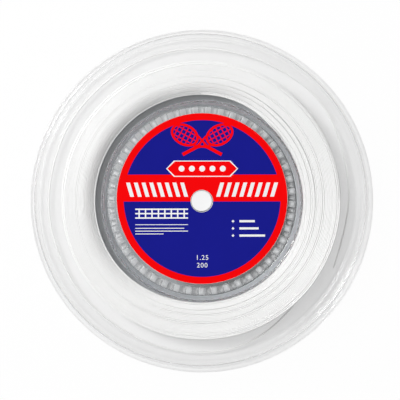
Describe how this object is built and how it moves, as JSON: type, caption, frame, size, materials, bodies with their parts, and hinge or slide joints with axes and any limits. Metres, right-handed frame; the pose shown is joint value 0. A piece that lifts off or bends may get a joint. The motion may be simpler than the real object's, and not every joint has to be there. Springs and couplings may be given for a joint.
{
  "type": "string reel",
  "caption": "Round clear reel in two snapped halves, with a deep labelled hub, a spindle hole and one long racket string coiled between its flanges.",
  "frame": {"origin": "on the reel's axis, at the level of the rear rim lip on which the reel lies", "axes": "+Z along the reel's axis towards the labelled face, +X to the right and +Y to the top of the picture"},
  "size_m": [0.265, 0.265, 0.03],
  "materials": {
    "clear_shell": "clear moulded polystyrene",
    "label": "printed label",
    "string": "white monofilament"
  },
  "bodies": {
    "rear": {"rear_half": "clear_shell", "string_winding": "string", "string_outer_layer": "string", "string_tail": "string"},
    "front": {"front_half": "clear_shell", "front_label": "label"}
  },
  "joints": [
    {"name": "front_half_lift", "type": "slide", "parent": "rear", "child": "front", "axis": [0, 0, 1], "range_m": [0, 0.03]}
  ]
}
